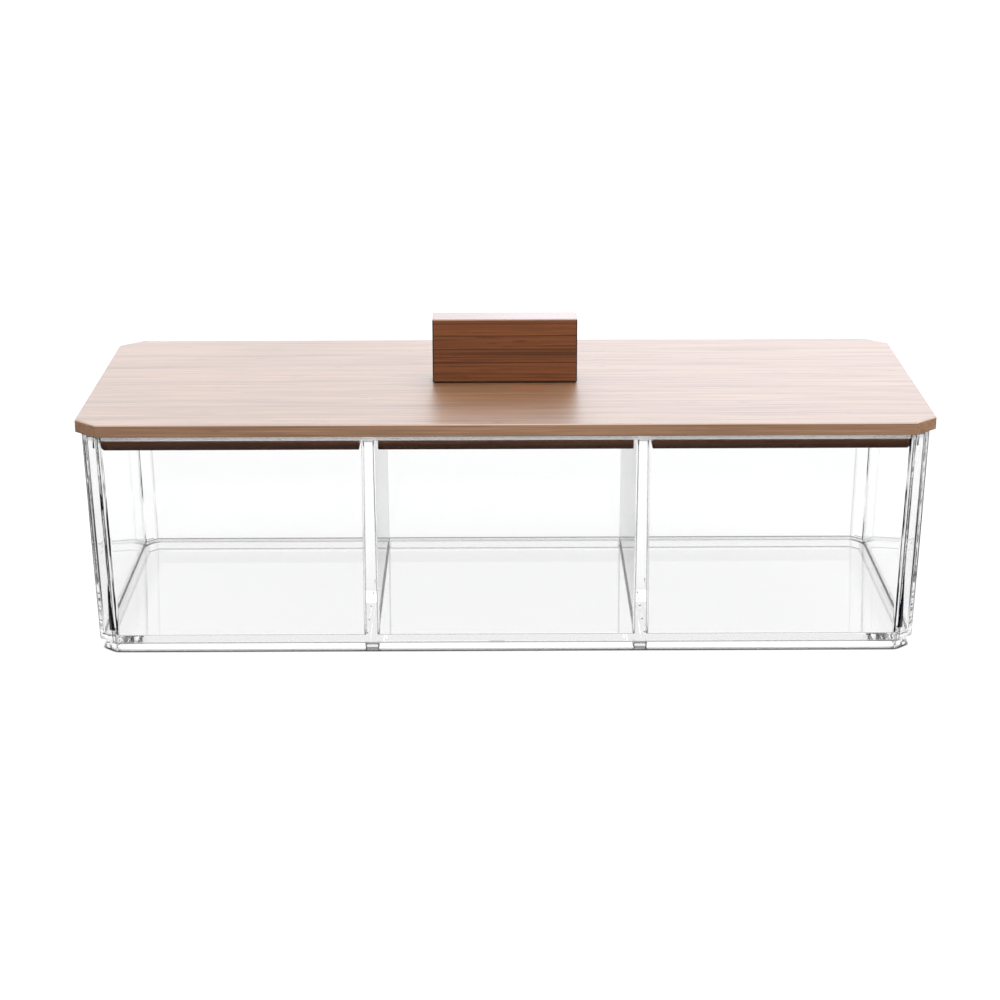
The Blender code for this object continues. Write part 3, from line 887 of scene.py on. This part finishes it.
def screwHole(place, base):
    # shank hole and countersink, turned round the screw's axis
    profile = ((0, wood["boreTop"]), (wood["boreRadius"], wood["boreTop"]),
               (wood["boreRadius"], wood["sinkTop"]), (wood["sinkRadius"], wood["sinkEdge"]),
               (wood["sinkRadius"], wood["sinkBottom"]), (0, wood["sinkBottom"]))
    shape = bmesh.new()
    points = [shape.verts.new((radius, 0, height)) for radius, height in profile]
    for start, end in zip(points, points[1:]):
        shape.edges.new((start, end))
    mesh = bpy.data.meshes.new("screwHole")
    shape.to_mesh(mesh)
    shape.free()
    hole = bpy.data.objects.new("screwHole", mesh)
    hole.location = (place, 0, base)
    bpy.context.scene.collection.objects.link(hole)
    turn = hole.modifiers.new("turn", "SCREW")
    turn.steps = wood["boreSides"]
    turn.render_steps = wood["boreSides"]
    turn.use_merge_vertices = True
    turn.merge_threshold = wood["boreMerge"]
    return hole


def makeWoodenPiece(name, material):
    piece = woodenPieces[name]
    low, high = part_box(name)
    plan = (low.x, high.x, low.y, high.y)
    leg = clearBox["corner"] - (clearBox["wall"] + wood["padClearance"]) * cornerLoss
    if name == "lid_board":
        leg = wood["lidCorner"]
    timber = block(name + "_wood", (*plan, low.z), (*plan, high.z), [leg * end for end in piece["ends"]],
                   (wood["edge"],) * 3, wood["steps"])
    holes = []
    if piece["screwed"]:
        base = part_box("left_handle_screw")[0].z
        for side in (-1, 1):
            hole = screwHole(side * wood["screwSpacing"] / 2, base)
            holes.append(combine(timber, hole, "DIFFERENCE"))
    settle(timber, holes)
    dress(timber, material)
    smoothRounds(timber)
    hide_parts(name)
    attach(timber, "lid")


# the two screws keep their CAD shape
screwLook = {
    "zinc": (200, 198, 192), "roughSpan": (0.25, 0.4),
    "grain": (4, 4, 0.6), "grainSpan": (0.3, 0.7),
    "bump": 0.1, "bumpDepth": 0.1 * mm,
}


def makeSteel():
    material, tree, shader = newMaterial("screw_steel")
    setShader(shader, Base_Color=colour(*screwLook["zinc"]), Metallic=1.0)
    grain = noise(tree, millimetres(tree, screwLook["grain"]), 2.0)
    addBump(tree, shader, grain, screwLook["bump"], screwLook["bumpDepth"])
    rough = remap(tree, grain, *screwLook["grainSpan"], *screwLook["roughSpan"])
    tree.links.new(rough, shader.inputs["Roughness"])
    return material


makeCamera(photoView)
makeWorld()
makeFloor()
makeLamps()
setLightPaths(bpy.context.scene)
print("studio and camera ready")

clearPlastic = makeClearPlastic()
bamboo = {name: makeBamboo(name) for name in bambooLooks}
steel = makeSteel()
print("materials ready")

makeClearBox(clearPlastic)
print("clear box moulded")
for name, piece in woodenPieces.items():
    makeWoodenPiece(name, bamboo[piece["slot"]])
for name in ("left_handle_screw", "right_handle_screw"):
    dress(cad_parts[name], steel)
print("lid dressed")

bpy.context.scene.view_settings.view_transform = "Standard"
